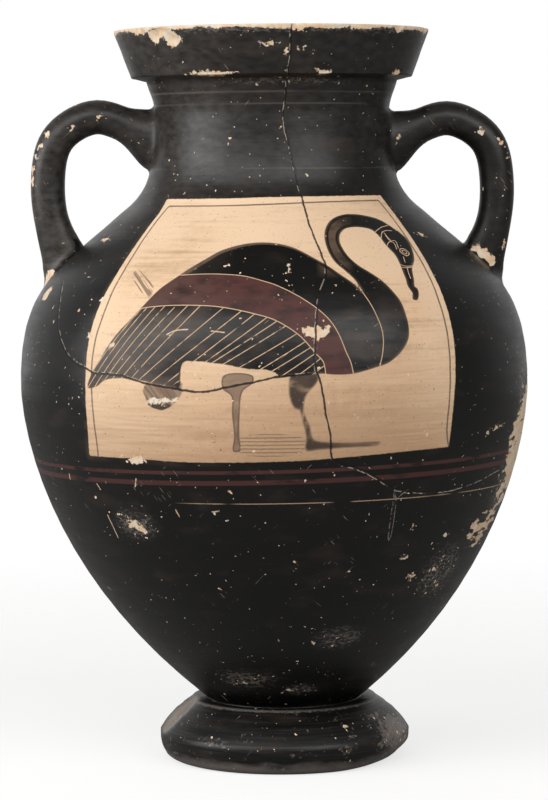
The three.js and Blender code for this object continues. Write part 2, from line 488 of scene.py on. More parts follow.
class Picture:
    """The painted figure, as outlines in x and z on the jar's front, in millimetres."""

    panel = (
        (-56.6, 308.9), (-56.6, 308.9), (-60.2, 302.2), (-66.5, 293.9), (-72.2, 285.6),
        (-77.7, 277.5), (-83.9, 267.3), (-89.4, 257.2), (-94.2, 244.8), (-96.9, 232.5),
        (-98.0, 220.0), (-98.2, 205.5), (-97.5, 189.7), (-97.2, 176.0), (-97.2, 176.0),
        (-70, 176.0), (-49, 175.2), (-18, 175.4), (12, 176.0), (38, 177.4), (64, 178.8),
        (90.4, 179.7), (90.4, 179.7), (91.6, 188.5), (93.3, 204.1), (94.2, 217.0), (93.9, 231.0),
        (92.2, 243.3), (89.0, 255.7), (85.0, 265.9), (80.1, 276.1), (75.5, 284.3), (70.2, 292.6),
        (63.9, 301.6), (58.0, 309.9), (58.0, 309.9), (28, 309.9), (0, 309.7), (-28, 309.1),
    )
    frame_line = (
        (-92.0, 160), (-92.3, 176.7), (-94.2, 197.9), (-94.9, 213.5), (-94.4, 226.4),
        (-92.2, 238.8), (-88.0, 251.1), (-83.5, 262.3), (-77.9, 272.5), (-72.5, 281.6),
        (-67.3, 289.8), (-61.3, 298.0), (-55.4, 305.2), (-55.4, 305.2), (-24.8, 305.4),
        (0.7, 306.1), (26.2, 306.9), (56.7, 307.3), (56.7, 307.3), (61.8, 300.6), (67.6, 292.5),
        (72.8, 284.2), (77.5, 276.0), (82.3, 266.0), (85.9, 255.8), (89.2, 243.5), (90.9, 231.2),
        (91.4, 217.2), (90.9, 204.3), (89.4, 188.7), (88.5, 160),
    )
    back = (
        (-97.1, 211.9), (-94.4, 220.3), (-91.1, 225.4), (-85.8, 234.3), (-79.3, 242.5),
        (-73.5, 248.2), (-67.2, 255.0), (-58.4, 263.6), (-50.3, 269.1), (-42.8, 274.0),
        (-34.6, 278.6), (-27.8, 282.3), (-19.6, 284.9), (-12.1, 286.3), (-4.5, 286.7), (4.3, 285.7),
        (11.8, 283.5), (19.2, 279.7), (27.9, 274.8), (35.2, 269.8), (41.4, 265.5), (45.7, 261.2),
    )
    neck_outer = (
        (45.9, 261.0), (41.9, 267.3), (36.6, 272.2), (32.3, 275.9), (29.3, 280.2), (27.2, 285.7),
        (26.8, 290.6), (28.5, 295.5), (31.7, 298.5), (36.9, 300.3), (42.8, 300.5), (49.4, 299.5),
        (56.2, 297.5), (62.9, 293.5), (69.6, 288.4), (72.6, 284.0), (74.0, 279.0), (73.9, 275.8),
        (72.6, 272.2), (73.0, 268.6),
    )
    bill = ((73.3, 266.2), (73.3, 263.2), (75.0, 261.8), (75.4, 257.8), (74.2, 256.0),
            (71.8, 257.0), (72.0, 259.6), (70.6, 261.8), (69.3, 264.0))
    neck_inner = (
        (68.8, 266.7), (67.7, 269.6), (66.7, 272.5), (65.2, 276.4), (63.4, 279.6), (61.0, 282.2),
        (58.6, 284.9), (56.5, 287.8), (54.2, 290.4), (51.6, 292.3), (46.5, 293.5), (42.5, 293.7),
        (37.9, 292.9), (35.3, 290.5),
        (34.8, 286.8), (36.3, 283.1), (39.3, 278.8), (44.2, 274.5), (50.4, 270.7), (56.6, 266.3),
        (62.1, 260.7), (65.8, 255.8), (68.1, 249.6), (69.6, 243.4), (69.4, 237.3), (67.1, 232.5),
        (63.3, 228.3), (58.2, 224.8), (53.1, 223.2), (46.9, 221.5), (40.6, 220.1), (31.9, 219.8),
        (24.5, 220.5),
    )
    under = (
        (19.6, 220.1), (12.2, 219.5), (6.0, 219.1), (-0.1, 217.9), (-10.0, 216.4), (-19.8, 213.9),
        (-29.7, 211.8), (-39.7, 211.3), (-49.6, 213.0), (-65.9, 216.4), (-80.0, 217.6),
        (-87.8, 216.1), (-92.0, 212.8),
    )
    band_outer = (
        (-54.0, 269.4), (-45.9, 270.4), (-34.5, 270.9), (-24.5, 270.7), (-14.6, 269.8),
        (-7.1, 267.9), (0.3, 265.7), (7.7, 262.4), (15.1, 258.3), (21.8, 253.8), (27.3, 248.9),
        (31.6, 243.3), (34.6, 237.2), (37.0, 231.0), (39.2, 226.0), (40.6, 219.9), (41.3, 216.0),
    )
    band_inner = (
        (26.8, 216.0), (26.3, 220.2), (25.2, 226.4), (21.5, 230.7), (17.3, 235.7), (12.4, 240.6),
        (6.3, 244.9), (-1.1, 248.6), (-9.7, 251.1), (-19.6, 253.3), (-29.5, 254.8), (-39.4, 255.3),
        (-49.5, 255.3), (-58.3, 254.8), (-66.5, 253.8), (-74.0, 252.0),
    )
    breast_cut = ((45.7, 261.2), (49.9, 255.0), (52.9, 248.9), (55.3, 242.7), (56.1, 236.6),
                  (55.7, 230.4), (54.2, 223.7), (53.0, 219.0))
    breast_side = ((53, 210), (110, 215), (110, 308), (20, 308), (22, 292), (25, 281),
                   (31, 274.6), (36.4, 270.6), (42.5, 265.8))
    feather_tops = (
        (-71.6, 249.5), (-66.9, 252.2), (-61.4, 253.9), (-56.4, 254.3), (-50.5, 254.6),
        (-44.4, 254.8), (-38.2, 254.5), (-27.0, 253.0), (-17.7, 251.5), (-10.3, 250.5),
        (-4.2, 248.6), (0.8, 246.8), (5.0, 244.3), (11.2, 240.6), (16.1, 236.9), (18.5, 233.8),
        (20.7, 230.7), (22.7, 227.6),
    )
    feather_ends = (
        (-95.7, 218.3), (-93.1, 218.1), (-89.8, 217.7), (-87.2, 217.2), (-83.9, 216.8),
        (-80.0, 216.2), (-75.5, 215.5), (-69.8, 216.9), (-63.4, 215.8), (-56.5, 214.7),
        (-47.1, 218.0), (-37.1, 223.1), (-29.6, 223.7), (-17.3, 224.4), (-6.8, 223.1),
        (-0.1, 222.8), (6.1, 221.2), (13.4, 220.7),
    )
    front_leg = (
        (8.5, 220.5), (7.2, 213.2), (8.1, 207.0), (10.2, 203.0), (12.6, 202.0), (14.2, 195.7),
        (15.8, 188.2), (15.4, 181.2), (22.8, 181.4), (36.5, 182.2), (54.0, 183.0), (54.7, 184.6),
        (39.0, 185.0), (25.4, 185.9), (19.8, 187.5), (18.1, 194.4), (15.1, 201.9), (16.4, 209.3),
        (22.6, 217.2), (22.0, 221.0),
    )
    rear_leg = (
        (-25.9, 220.1), (-26.3, 213.3), (-21.9, 209.6), (-21.7, 200.3), (-20.8, 188.5),
        (-21.6, 181.2), (-17.7, 181.2), (-18.0, 188.5), (-17.6, 201.0), (-16.0, 212.1),
        (-10.6, 216.4), (-10.9, 220.1),
    )
    wing_tip = (
        (-66.2, 216.0), (-67.0, 208.9), (-63.6, 204.0), (-58.5, 202.3), (-52.2, 204.3),
        (-47.8, 210.0), (-47.0, 216.0),
    )
    foot_strokes = ((-18.5, 180.6), (14.5, 180.9), (15.0, 187.6), (-18.5, 187.9))
    smear = ((-73.4, 270.4), (-70.3, 272.9), (-61.6, 262.2), (-66.9, 258.2))
    paint_lost = (
        (-46.6, 226.2), (-39.5, 227.2), (-32.1, 226.4), (-24.7, 225.6), (-18.5, 224.3),
        (-9.9, 223.1), (-5.0, 223.0), (-0.1, 221.8), (2.2, 219.8), (1.0, 215.5), (-19.8, 211.0),
        (-39.7, 208.3), (-49.6, 210.0), (-48.0, 215.0),
    )
    hole = (
        (14.4, 243.4), (18.0, 244.4), (21.7, 245.0), (24.8, 244.0), (28.4, 244.8), (28.9, 240.9),
        (27.2, 239.3), (24.1, 238.4), (21.6, 237.5), (19.2, 239.3), (16.1, 240.4),
    )
    eye = (68.9, 280.6)
    face_cuts = (
        ((58.6, 290.4), (62.0, 286.6), (64.4, 286.2), (65.8, 282.6)),
        ((59.2, 289.2), (61.6, 286.2), (63.6, 285.2), (64.9, 282.0)),
        ((53.8, 291.1), (57.3, 293.4), (60.9, 294.2)),
        ((56.9, 288.1), (57.3, 290.4), (59.3, 291.6), (62.8, 291.5)),
        ((59.9, 284.2), (60.7, 285.6), (62.1, 286.1)),
        ((66.3, 274.3), (69.2, 273.4), (73.4, 273.5)),
        ((66.6, 273.0), (69.8, 272.6), (73.0, 272.9)),
        ((69.9, 272.7), (70.5, 269.8), (71.4, 267.2)), ((68.2, 278.2), (68.8, 275.4)),
    )
    scores = (
        ((-89.2, 144.1), (-84.2, 131.5)), ((-52.5, 149.7), (-50.4, 145.8)),
        ((-34.0, 148.8), (-27.9, 149.9)), ((-109.5, 164.5), (-109.0, 159.0)),
        ((-72.4, 165.5), (-73.1, 160.9)), ((-94.0, 160.9), (-92.2, 157.9)),
        ((-54.8, 240.5), (-50.4, 242.6), (-44.0, 243.2)), ((-31.9, 242.5), (-25.3, 241.8)),
        ((-78.4, 254.9), (-77.5, 251.9)),
    )

    @classmethod
    def figure(cls) -> tuple[Place, ...]:
        """Give the bird's whole outline."""
        return (*cls.back, *cls.neck_outer[1:], *cls.bill, *cls.neck_inner, *cls.under)


class Mends:
    """The mended breaks that run over the jar, as x and z on its front, in millimetres."""

    long_break = (
        (10.4, 401), (10.3, 384.8), (8.7, 373.5), (7.3, 360.2), (6.4, 351.2), (9, 337.5),
        (11.5, 325.9), (14.5, 313.3), (18.9, 296.2), (24.3, 282), (27.2, 274.4), (27.1, 269.5),
        (23.3, 258.1), (21.5, 241.6), (21.3, 223.5), (23.8, 215.9), (26.2, 200), (28.6, 187.1),
        (29.4, 176.1), (42.7, 170.9), (51.9, 165.7), (61.2, 159.3), (75.6, 156.6), (90.3, 156.2),
        (104.9, 158.7), (121.1, 164.2),
    )
    tail_break = (
        (-112.5, 266.2), (-114, 247.9), (-113.8, 242.8), (-111.3, 233.7), (-106.1, 226.3),
        (-97.2, 221.6), (-93.4, 219.8), (-81, 219.3), (-66.7, 215.6), (-52.7, 213.4),
        (-36.2, 211.6), (-25.5, 213.8), (-11.7, 216.3), (2, 219.3), (22, 220.6),
    )
    right = ((139, 190), (139, 399), (60, 401))
    below = ((22, 120), (-138, 120), (-138, 268))
    loop = ((61.2, 159.3), (60.2, 152.0), (59.0, 145.3), (57.9, 138.0), (57.2, 131.1),
            (58.6, 133.0), (59.9, 139.0), (61.0, 146.0), (61.9, 153.0))


class Face(Enum):
    """Which side of the jar a picture is laid on."""

    FRONT = 1
    REVERSE = -1


class Surface:
    """Places on the jar's outside, where outlines are measured against them."""

    half_turn = 88.0
    lowest = 100.0
    skin_depth = 2.5

    def __init__(self, form: JarForm, places: np.ndarray, face: Face) -> None:
        """Keep the places that may carry a picture on one face.

        Args:
            form: The jar's sizes.
            places: Every vertex before the lean, in millimetres.
            face: The side that the picture faces.
        """
        self.form = form
        spun = places * (face.value, face.value, 1.0)
        self.count = len(places)
        azimuth = np.degrees(np.arctan2(spun[:, 0], -spun[:, 1]))
        radius = np.hypot(spun[:, 0], spun[:, 1])
        skin = np.abs(radius - form.radius_at(spun[:, 2])) < self.skin_depth
        faced = (np.abs(azimuth) < self.half_turn) & (spun[:, 2] > self.lowest)
        self.kept = np.flatnonzero(faced & skin)
        self.places = spun[self.kept]
        self.azimuth = azimuth[self.kept]

    def drawn(self, points: Sequence[Place], closed: bool = True,
              smooth: int = 5) -> tuple[np.ndarray, np.ndarray]:
        """Lay a smooth line through points on the jar's surface.

        Args:
            points: The line's points as x and height.
            closed: Whether the line is an outline.
            smooth: How many samples go between two points.

        Returns:
            The line as azimuth and height, and as places in space.
        """
        flat = through(points, smooth, closed)
        radius = self.form.radius_at(flat[:, 1])
        turn = np.arcsin(np.clip(flat[:, 0] / radius, -0.999, 0.999))
        space = np.column_stack([radius * np.sin(turn), -radius * np.cos(turn), flat[:, 1]])
        return np.column_stack([np.degrees(turn), flat[:, 1]]), space

    def away(self, line: np.ndarray) -> np.ndarray:
        """Give the distance from each place to a line in space."""
        near = np.full(len(self.places), 1e6)
        for start, end in zip(line, line[1:]):
            run = end - start
            rel = self.places - start
            t = np.clip(rel @ run / max(run @ run, 1e-9), 0.0, 1.0)
            near = np.minimum(near, ((rel - t[:, None] * run) ** 2).sum(axis=1))
        return np.sqrt(near)

    def within(self, outline: np.ndarray) -> np.ndarray:
        """Tell which places lie inside an outline of azimuth and height."""
        inside = np.zeros(len(self.places), bool)
        a, z = self.azimuth, self.places[:, 2]
        for (a0, z0), (a1, z1) in zip(outline, np.roll(outline, -1, axis=0)):
            crosses = (z0 > z) != (z1 > z)
            if z1 != z0:
                inside ^= crosses & (a < (a1 - a0) * (z - z0) / (z1 - z0) + a0)
        return inside

    def spread(self, values: np.ndarray, far: float) -> np.ndarray:
        """Put the values of the kept places into a list for every vertex."""
        full = np.full(self.count, far)
        full[self.kept] = values
        return full

    def inside_by(self, points: Sequence[Place], reach: float = 8.0) -> np.ndarray:
        """Measure how deep each vertex lies inside an outline, negative outside it.

        Args:
            points: The outline as x and height.
            reach: The depth beyond which the measure is held.

        Returns:
            One value per vertex of the whole jar, in millimetres.
        """
        chart, space = self.drawn(points)
        depth = self.away(np.vstack([space, space[:1]]))
        signed = np.where(self.within(chart), depth, -depth)
        return self.spread(np.clip(signed, -reach, reach), -reach)

    def strokes(self, lines: Sequence[Sequence[Place]], reach: float) -> np.ndarray:
        """Measure each vertex's distance to the nearest of some open lines.

        Args:
            lines: Each line's points as x and height.
            reach: The distance beyond which the measure is held.

        Returns:
            One value per vertex of the whole jar, in millimetres.
        """
        near = np.full(len(self.places), reach)
        for line in lines:
            _, space = self.drawn(line, closed=False, smooth=3)
            near = np.minimum(near, self.away(space))
        return self.spread(near, reach)

    def beside(self, points: Sequence[Place], closing: Sequence[Place],
               reach: float = 8.0) -> np.ndarray:
        """Measure each vertex's distance to an open line, signed by its side.

        Args:
            points: The line as x and height.
            closing: Points that close it round one side.
            reach: The distance beyond which the measure is held.

        Returns:
            One value per vertex, positive on the closed side.
        """
        chart, space = self.drawn(points, closed=False)
        radius = self.form.radius_at(np.array([z for _, z in closing]))
        turn = [math.degrees(math.asin(max(-0.999, min(0.999, x / r))))
                for (x, _), r in zip(closing, radius)]
        around = np.vstack([chart, np.column_stack([turn, [z for _, z in closing]])])
        depth = self.away(space)
        signed = np.where(self.within(around), depth, -depth)
        return self.spread(np.clip(signed, -reach, reach), -reach)

    def plumes(self, picture: type[Picture]) -> tuple[np.ndarray, np.ndarray]:
        """Number the wing's feathers, so that each incised line is a whole number.

        Args:
            picture: The figure's outlines.

        Returns:
            The feather count at each vertex, and the spacing there in millimetres.
        """
        sides = []
        for top, end in zip(picture.feather_tops, picture.feather_ends):
            (a0, z0), (a1, z1) = self.drawn((top, end), closed=False, smooth=1)[0]
            scale = math.radians(1.0) * 132.0
            run = np.array([(a1 - a0) * scale, z1 - z0])
            rel = np.column_stack([(self.azimuth - a0) * scale, self.places[:, 2] - z0])
            sides.append((rel[:, 0] * run[1] - rel[:, 1] * run[0]) / np.hypot(*run) * -1.0)
        table = np.array(sides)
        phase = np.full(len(self.places), -0.5)
        gap = np.full(len(self.places), 4.0)
        for i in range(len(table) - 1):
            left, right = table[i], table[i + 1]
            between = (left >= 0) & (right < 0)
            width = np.maximum(left - right, 0.3)
            phase = np.where(between, i + left / width, phase)
            gap = np.where(between, width, gap)
        past = table[-1] >= 0
        phase = np.where(past, len(table) - 1 + table[-1] / 4.0, phase)
        before = (table[0] < 0) & ~past
        phase = np.where(before, table[0] / 4.0, phase)
        return self.spread(phase, -9.0), self.spread(gap, 4.0)


@dataclass
class Amphora:
    """The whole jar: its mesh, the fields that carry its paint and wear, and its finish."""

    form: JarForm = field(default_factory=JarForm)
    sectors: tuple[Sector, ...] = (
        Sector(-56, 56, 176), Sector(56, 124, 30), Sector(124, 236, 84), Sector(236, 304, 30),
    )
    inner_sectors: tuple[Sector, ...] = (Sector(-180, 180, 96),)
    handles: tuple[HandleForm, HandleForm] = (HandleForm(1), HandleForm(-1))
    blend: float = 4.5
    # Where clay has broken off the lip
    chips: tuple[Chip, ...] = (
        Chip(-47, 395.0, 4.5, 4.2, 1.6), Chip(-38.5, 393.2, 6.0, 4.0, 1.4),
        Chip(-43, 397.2, 7.0, 2.8, 1.2), Chip(-56, 398.6, 5.0, 2.2, 1.0),
        Chip(-20, 399.6, 7.0, 1.6, 0.8), Chip(9, 399.0, 4.0, 2.0, 0.9),
        Chip(31, 399.4, 9.0, 1.4, 0.7), Chip(52, 398.8, 5.0, 2.0, 0.9),
        Chip(78, 399.2, 8.0, 2.0, 1.0), Chip(140, 399.2, 9.0, 2.4, 1.2),
        Chip(206, 398.8, 6.0, 3.0, 1.4), Chip(262, 399.2, 7.0, 2.2, 1.0),
        Chip(20, 375.2, 5.0, 1.2, 0.7),
        Chip(-24, 375.0, 8.0, 1.0, 0.6), Chip(60, 375.4, 4.0, 1.6, 0.9),
        Chip(170, 375.2, 9.0, 1.4, 0.8),
    )
    # Where only the gloss has flaked off
    flakes: tuple[Chip, ...] = (
        Chip(-0.4, 389.9, 3.2, 0.9), Chip(5.5, 385.3, 1.6, 2.2), Chip(12.1, 387.3, 3.4, 0.8),
        Chip(3.9, 274.2, 1.3, 1.9), Chip(34.6, 121.3, 3.6, 1.4), Chip(39.4, 109.9, 3.4, 2.0),
        Chip(-37.1, 140.4, 5.0, 2.6), Chip(-34.5, 137.0, 3.0, 1.4), Chip(-41.0, 144.0, 2.6, 1.2),
        Chip(-43.9, 257.3, 2.0, 1.8), Chip(-44.8, 238.7, 2.2, 1.6), Chip(-36.5, 243.5, 1.6, 1.0),
        Chip(-37.8, 234.2, 1.8, 1.4), Chip(-44.0, 218.0, 1.5, 2.0), Chip(-65.3, 287.2, 3.2, 1.0),
        Chip(-50.8, 250.9, 0.8, 1.4), Chip(60.0, 134.0, 4.0, 2.6), Chip(68.0, 126.0, 5.0, 2.2),
        Chip(47.5, 131.5, 2.2, 1.4), Chip(59.0, 187.5, 3.2, 0.9), Chip(62.0, 189.0, 1.2, 1.4),
        Chip(55.0, 185.0, 1.0, 1.0), Chip(-32.2, 175.6, 6.0, 2.8), Chip(54.3, 288.5, 2.4, 1.3),
        Chip(118, 240, 7.0, 4.0), Chip(150, 150, 9.0, 5.0), Chip(214, 132, 6.0, 9.0),
        Chip(250, 215, 6.0, 12.0), Chip(188, 92, 9.0, 4.0), Chip(160, 340, 4.0, 2.0),
        Chip(-73, 258, 5.0, 4.0),
    )
    # The same on the handles, as places in x, y and z with a radius
    nicks: tuple[tuple[float, float, float, float], ...] = (
        (-123.8, -7.4, 344.0, 2.2), (-126.4, -6.8, 337.5, 2.3), (-129.0, -5.6, 331.0, 2.6),
        (-131.2, -4.8, 325.0, 2.6), (-132.2, -4.2, 318.5, 2.2), (-111.6, -9.2, 346.6, 1.1),
        (-109.4, -9.3, 347.2, 1.3), (-107.2, -9.4, 347.6, 1.1), (-124.4, -8.0, 264.0, 4.6),
        (-122.6, -8.5, 267.5, 3.4), (-116.0, -7.0, 284.0, 2.2), (69.5, -12.0, 341.0, 1.5),
        (71.5, -11.5, 344.0, 1.1), (67.5, -12.6, 338.0, 1.0), (114.3, -9.0, 344.2, 2.2),
        (120.5, -7.5, 342.5, 1.2), (124.4, -6.5, 338.6, 1.5), (126.0, -6.0, 334.6, 1.2),
        (127.7, -6.0, 330.4, 1.1),
        (110.5, -8.5, 280.5, 2.8), (115.0, -9.5, 277.0, 3.6), (119.5, -9.8, 273.5, 3.4),
        (123.0, -9.5, 271.5, 2.4), (127.7, -6.0, 283.5, 1.7), (126.8, -6.5, 279.8, 1.5),
        (130.0, 5.0, 330.0, 4.0), (-120.0, 8.0, 300.0, 3.0),
    )
    # The foot's broken place and its worn edge
    broken: Chip = Chip(-82, 24, 17, 13, 2.2)
    worn_edge: Chip = Chip(72, -1.0, 52, 12, 4.2)
    # Where the gloss is scraped off in streaks, with how much of it as the depth
    scrapes: tuple[Chip, ...] = (
        Chip(81, 175, 36, 38, 1.0), Chip(66, 130, 26, 14, 0.62), Chip(74, 150, 16, 16, 0.8),
    )
    # Where the gloss is rubbed grey and pitted
    worn: tuple[Chip, ...] = (
        Chip(-37, 140, 20, 11), Chip(-19, 51.5, 24, 8), Chip(66, 14, 32, 18), Chip(21, 77, 20, 9),
        Chip(9, 45, 14, 5), Chip(72, 150, 22, 34), Chip(74, 200, 16, 40),
        Chip(8, 371, 60, 3), Chip(0, 398, 260, 3),
        Chip(52, 110, 24, 22), Chip(150, 150, 36, 26), Chip(214, 132, 26, 30),
        Chip(250, 215, 24, 34), Chip(188, 92, 30, 16),
    )

    def build(self) -> bpy.types.Object:
        """Turn, join, hollow and finish the jar's mesh.

        Returns:
            The jar, at the origin and ready for its material.
        """
        jar = turned(self.form.outside(), self.sectors, "fired_amphora")
        for handle in self.handles:
            combined(jar, handle.build(), "UNION")
        combined(jar, turned(self.form.inside(), self.inner_sectors, "empty_inside"),
                 "DIFFERENCE")
        self.blend_roots(jar)
        self.refine(jar)
        self.lay_fields(jar)
        return jar

    def outward(self, places: np.ndarray) -> np.ndarray:
        """Give each place's height over the turned outside, negative within the wall."""
        line = self.form.skin()
        slope = np.gradient(line[:, 0], line[:, 1])
        lift = 1.0 / np.sqrt(1.0 + np.interp(places[:, 2], line[:, 1], slope) ** 2)
        return (np.hypot(places[:, 0], places[:, 1]) - self.form.radius_at(places[:, 2])) * lift

    def blend_roots(self, jar: bpy.types.Object) -> None:
        """Smooth the clay where the handles were pressed on to the neck and shoulder."""
        bm = bmesh.new()
        bm.from_mesh(jar.data)
        bmesh.ops.remove_doubles(bm, verts=bm.verts, dist=0.00025)
        for reach, rounds in ((self.blend, 5), (self.blend * 0.6, 6)):
            bm.verts.ensure_lookup_table()
            places = np.array([vert.co[:] for vert in bm.verts]) / MM
            over = np.abs(self.outward(places))
            over[places[:, 2] < 200] = 1e3
            near = np.full(len(places), 1e3)
            for handle in self.handles:
                near = np.minimum(near, np.abs(handle.surface_distance(places)))
            chosen = [bm.verts[i] for i in np.flatnonzero(np.hypot(over, near) < reach)]
            for _ in range(rounds):
                bmesh.ops.smooth_vert(bm, verts=chosen, factor=0.5, use_axis_x=True,
                                      use_axis_y=True, use_axis_z=True)
        bmesh.ops.recalc_face_normals(bm, faces=bm.faces)
        bm.to_mesh(jar.data)
        bm.free()

    def refine(self, jar: bpy.types.Object) -> None:
        """Divide the mesh finely along the thin strokes, so that they can be drawn on it."""
        bm = bmesh.new()
        bm.from_mesh(jar.data)
        places = np.array([vert.co[:] for vert in bm.verts]) / MM
        front = Surface(self.form, places, Face.FRONT)
        near = front.strokes((*Picture.face_cuts, *Picture.scores), 3.0)
        bm.verts.ensure_lookup_table()
        edges = [edge for edge in bm.edges if all(near[vert.index] < 2.0 for vert in edge.verts)]
        made = bmesh.ops.subdivide_edges(bm, edges=edges, cuts=3, use_grid_fill=True)
        for vert in {part for part in made["geom_inner"] if isinstance(part, bmesh.types.BMVert)}:
            turn = math.atan2(vert.co.x, -vert.co.y)
            radius = float(self.form.radius_at(np.array([vert.co.z / MM]))[0]) * MM
            vert.co.x, vert.co.y = radius * math.sin(turn), -radius * math.cos(turn)
        bmesh.ops.recalc_face_normals(bm, faces=bm.faces)
        bm.to_mesh(jar.data)
        bm.free()

    def spot(self, places: np.ndarray, chip: Chip) -> np.ndarray:
        """Measure how deep each place lies in a spot, from 1 at its middle to 0 at its edge."""
        azimuth = np.degrees(np.arctan2(places[:, 0], -places[:, 1]))
        radius = np.hypot(places[:, 0], places[:, 1])
        turn = (azimuth - chip.azimuth + 180) % 360 - 180
        across = np.radians(turn) * radius / chip.width
        return 1.0 - np.hypot(across, (places[:, 2] - chip.level) / chip.tall)

    def lay_fields(self, jar: bpy.types.Object) -> None:
        """Measure paint, mends and wear over the mesh, chip it and lean it.

        Args:
            jar: The jar's object, whose mesh takes the fields as attributes.
        """
        mesh = jar.data
        flat = np.empty(len(mesh.vertices) * 3)
        mesh.vertices.foreach_get("co", flat)
        places = flat.reshape(-1, 3) / MM
        over = self.outward(places)
        level = places[:, 2]
        ledge = level > 33.0
        near = np.minimum(*(handle.surface_distance(places) for handle in self.handles))
        is_handle = ledge & (over > 0.35) & (near < 2.5)
        radius = np.hypot(places[:, 0], places[:, 1])
        inner = ledge & (over < -2.5) & (radius < self.form.mouth_radius - 7.0)
        inner |= (level > 38.0) & (level < 60.0) & (over < -2.5)
        inner &= ~is_handle
        fields = self.painted(places)
        fields["inner"] = inner.astype(float)
        fields["handle"] = smoothstep(np.where(is_handle, over, 0.0) / 3.0)
        loss = Surface(self.form, places, Face.FRONT).inside_by(Picture.hole)
        for chip in (*self.chips, *self.flakes):
            loss = np.maximum(loss, self.spot(places, chip) * min(chip.width, chip.tall))
        for x, y, z, size in self.nicks:
            loss = np.maximum(loss, size - np.linalg.norm(places - (x, y, z), axis=1))
        fields["loss"] = np.where(inner, -6.0, np.clip(loss, -6.0, 8.0))
        fields["wear"] = np.max([smoothstep(self.spot(places, chip) * 1.4)
                                 for chip in self.worn], axis=0)
        fields["scraped"] = np.max([smoothstep(self.spot(places, chip) * 2.2) * chip.depth
                                    for chip in self.scrapes], axis=0)
        facet = self.spot(places, self.broken)
        fields["broken"] = np.clip(facet, -1.0, 1.0)
        self.shape(places, is_handle, inner, facet)
        places[:, 0] += self.form.leaned(level)
        mesh.vertices.foreach_set("co", (places * MM).ravel())
        for name, values in fields.items():
            layer = mesh.attributes.new(name, "FLOAT", "POINT")
            layer.data.foreach_set("value", values.astype(np.float32))
        mesh.shade_smooth()
        mesh.update()

    def painted(self, places: np.ndarray) -> dict[str, np.ndarray]:
        """Measure the picture's outlines and the mends at every vertex.

        Args:
            places: Every vertex before the lean, in millimetres.

        Returns:
            Named fields, one value per vertex.
        """
        front = Surface(self.form, places, Face.FRONT)
        reverse = Surface(self.form, places, Face.REVERSE)
        both = {
            "panel": Picture.panel, "frame_line": Picture.frame_line, "bird": Picture.figure(),
            "band": (*Picture.band_outer, *Picture.band_inner),
            "feathers": (*Picture.band_inner, (-110, 250), (-110, 200), (26, 200)),
            "front_leg": Picture.front_leg, "rear_leg": Picture.rear_leg,
        }
        fields = {name: np.maximum(front.inside_by(points), reverse.inside_by(points))
                  for name, points in both.items()}
        for name in ("wing_tip", "foot_strokes", "smear", "paint_lost"):
            fields[name] = front.inside_by(getattr(Picture, name))
        for name in ("face_cuts", "scores"):
            fields[name] = front.strokes(getattr(Picture, name), 3.0)
        fields["breast_cut"] = front.beside(Picture.breast_cut, Picture.breast_side)
        fields["plume"], fields["plume_gap"] = front.plumes(Picture)
        fields["loop"] = front.inside_by(Mends.loop, 3.0)
        for name, closing in (("long_break", Mends.right), ("tail_break", Mends.below)):
            points = getattr(Mends, name)
            fields[name] = front.beside(points, closing, 5.0)
            _, space = front.drawn(points, closed=False)
            gate = 1.0 - smoothstep((front.away(space) - 2.2) / 1.6)
            tips = space[-1:] if name == "long_break" else space[[0, -1]]
            ends = np.min([np.linalg.norm(front.places - tip, axis=1) for tip in tips], axis=0)
            fields[name + "_gate"] = front.spread(gate * smoothstep(ends / 5.0), 0.0)
        return fields

    def shape(self, places: np.ndarray, is_handle: np.ndarray, inner: np.ndarray,
              facet: np.ndarray) -> None:
        """Give the thrown surface its ridges, chips and broken places, all inwards.

        Args:
            places: Every vertex before the lean, changed in place.
            is_handle: Which vertices are on a handle.
            inner: Which vertices are on the inside.
            facet: The broken place on the foot, 1 at its middle.
        """
        level = places[:, 2]
        azimuth = np.arctan2(places[:, 0], -places[:, 1])
        radius = np.hypot(places[:, 0], places[:, 1])
        wheel = 0.5 + 0.5 * np.sin(level * 0.52 + 0.4 * np.sin(azimuth * 2 + level * 0.03))
        fine = 0.5 + 0.5 * np.sin(level * 1.9 + 1.3 * np.sin(level * 0.21))
        drop = 0.10 * wheel + 0.035 * fine
        drop += 0.12 * (1 + np.sin(azimuth * 3 + level * 0.035))
        drop *= smoothstep((level - 36.0) / 6.0) * smoothstep((398.0 - level) / 4.0)
        foot = (level < 33.0) & (radius > 52.0)
        ridge = np.zeros(len(level))
        for middle, width in ((24.8, 0.9), (14.9, 1.1), (29.2, 0.7)):
            ridge += 0.45 * np.exp(-(((level - middle) / width) ** 2))
        drop = np.where(foot, 0.45 - np.clip(ridge, 0.0, 0.45), drop)
        drop = np.where(level < 3.0, 0.0, drop)
        for chip in self.chips:
            drop = drop + chip.depth * smoothstep(self.spot(places, chip) * 1.6)
        near_foot = foot | (level > 30) & (level < 36)
        drop = drop + near_foot * self.broken.depth * smoothstep(facet * 2)
        rubbed = smoothstep(self.spot(places, self.worn_edge) * 1.3)
        drop = drop + foot * self.worn_edge.depth * rubbed * smoothstep((radius - 54.0) / 6.0)
        drop = np.where(is_handle | inner, 0.0, drop)
        drop = np.where(radius < 40, 0.0, drop)
        scale = 1.0 - drop / np.maximum(radius, 1.0)
        places[:, 0] *= scale
        places[:, 1] *= scale


